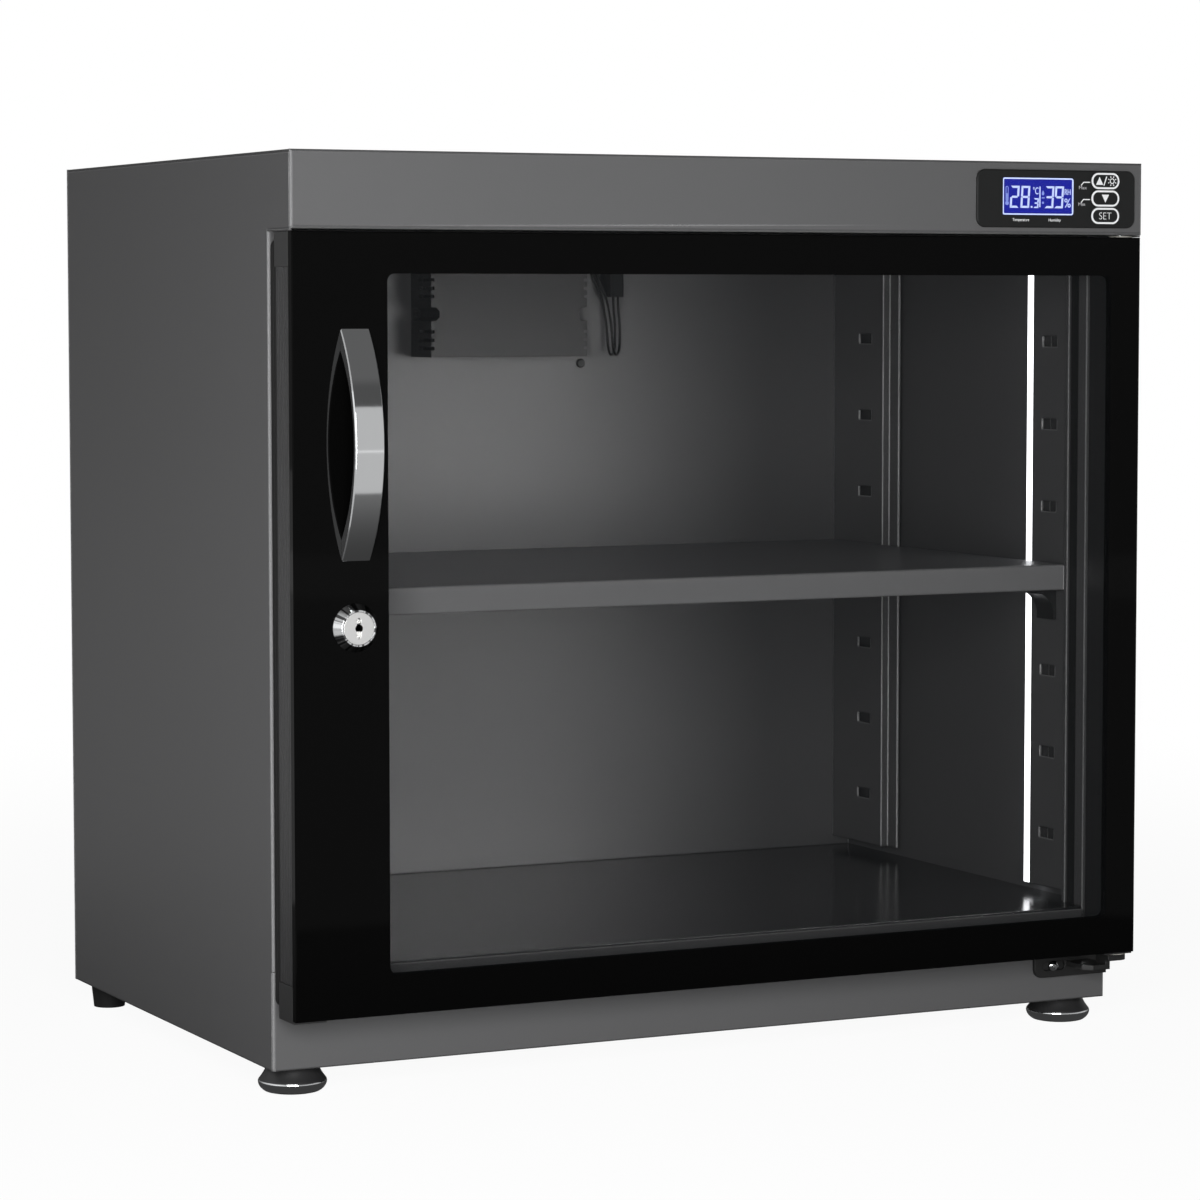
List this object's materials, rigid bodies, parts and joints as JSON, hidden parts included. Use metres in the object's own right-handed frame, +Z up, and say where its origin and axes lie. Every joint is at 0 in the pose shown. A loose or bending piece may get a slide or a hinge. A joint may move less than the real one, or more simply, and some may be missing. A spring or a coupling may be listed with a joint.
{
  "type": "desiccator cabinet",
  "caption": "Bench-top desiccator cabinet with a hinged glass door, lock and handle, a removable shelf on slotted posts, a dehumidifier, a light strip and a display panel with buttons.",
  "frame": {"origin": "on the bench, under the centre of the whole cabinet's box (door and handle included)", "axes": "+X to the right seen from the front, +Y from the door towards the back, +Z up"},
  "size_m": [0.4304, 0.3134, 0.4124],
  "materials": {
    "case_paint": "satin powder coat, dark grey, almost black",
    "black_steel": "black powder-coated steel",
    "liner_paint": "satin powder coat inside, near black, smooth enough to reflect",
    "tinted_glass": "polished float glass, 4 mm",
    "mask_print": "black enamel print on the back of the glass",
    "dark_profile": "dark anodised extrusion with fine ribs",
    "black_plastic": "moulded ABS, fine grain",
    "panel_plastic": "moulded ABS, satin",
    "black_rubber": "soft black rubber",
    "lead_sheath": "thin PVC wire sheath",
    "chrome": "polished chrome plate",
    "zinc_steel": "zinc plated steel",
    "nylon": "natural nylon",
    "display_lens": "clear display lens",
    "display_lit": "blue backlit liquid crystal display",
    "circuit_board": "green solder mask",
    "bare_aluminium": "drawn aluminium",
    "milky_plastic": "opal diffuser",
    "desiccant": "bonded desiccant pack"
  },
  "bodies": {
    "cabinet": {"side_panel_left": "case_paint", "side_panel_right": "case_paint", "top_cover": "case_paint", "fascia_panel": "case_paint", "sill_panel": "case_paint", "lintel": "case_paint", "base_plate": "case_paint", "rear_cover": "case_paint", "hinge_bracket": "black_steel", "floor_pan": "liner_paint", "ceiling_panel": "liner_paint", "back_wall": "liner_paint", "front_posts": "liner_paint", "rear_posts": "liner_paint", "shelf_clips": "black_plastic", "dehumidifier_cover": "black_plastic", "dehumidifier_base": "black_plastic", "vent_duct": "black_plastic", "lead_plug": "black_plastic", "lead_socket": "black_plastic", "dc_inlet": "black_plastic", "humidity_sensor": "black_plastic", "control_bezel": "panel_plastic", "rear_feet": "black_rubber", "heater_lead_1": "lead_sheath", "heater_lead_2": "lead_sheath", "hinge_screws": "chrome", "rear_cover_screws": "zinc_steel", "rear_foot_screws": "zinc_steel", "foot_nuts": "zinc_steel", "board_screws": "zinc_steel", "dehumidifier_screws": "zinc_steel", "hinge_pins": "zinc_steel", "lcd_window": "display_lens", "lcd_module": "display_lit", "control_board": "circuit_board", "led_channel": "bare_aluminium", "heater_plate": "bare_aluminium", "led_diffuser": "milky_plastic", "desiccant_pack": "desiccant"},
    "door": {"door_glass": "tinted_glass", "glass_mask": "mask_print", "door_stiles": "dark_profile", "door_rails": "dark_profile", "corner_caps": "black_plastic", "door_gasket": "black_rubber", "handle": "chrome", "handle_screws": "zinc_steel", "lock_barrel": "chrome", "lock_nut": "zinc_steel", "hinge_bushes": "nylon"},
    "lock": {"lock_plug": "chrome", "lock_cam": "zinc_steel", "cam_screw": "zinc_steel"},
    "shelf": {"shelf": "liner_paint"},
    "button_up": {"button_up": "panel_plastic"},
    "button_down": {"button_down": "panel_plastic"},
    "button_set": {"button_set": "panel_plastic"},
    "foot_left": {"levelling_foot_left": "chrome"},
    "foot_right": {"levelling_foot_right": "chrome"}
  },
  "joints": [
    {"name": "door_hinge", "type": "hinge", "parent": "cabinet", "child": "door", "pos_m": [0.2095, -0.1307, 0], "axis": [0, 0, 1], "range_deg": [0, 160]},
    {"name": "lock_turn", "type": "hinge", "parent": "door", "child": "lock", "pos_m": [-0.1862, -0.1137, 0.2078], "axis": [0, 1, 0], "range_deg": [0, 90]},
    {"name": "shelf_lift", "type": "slide", "parent": "cabinet", "child": "shelf", "axis": [0, 0, 1], "range_m": [0, 0.03]},
    {"name": "up_press", "type": "slide", "parent": "cabinet", "child": "button_up", "axis": [0, 1, 0], "range_m": [0, 0.0005], "stiffness_N_per_m": 1500},
    {"name": "down_press", "type": "slide", "parent": "cabinet", "child": "button_down", "axis": [0, 1, 0], "range_m": [0, 0.0005], "stiffness_N_per_m": 1500},
    {"name": "set_press", "type": "slide", "parent": "cabinet", "child": "button_set", "axis": [0, 1, 0], "range_m": [0, 0.0005], "stiffness_N_per_m": 1500},
    {"name": "foot_left_adjust", "type": "slide", "parent": "cabinet", "child": "foot_left", "axis": [0, 0, -1], "range_m": [0, 0.006]},
    {"name": "foot_right_adjust", "type": "slide", "parent": "cabinet", "child": "foot_right", "axis": [0, 0, -1], "range_m": [0, 0.006]}
  ]
}
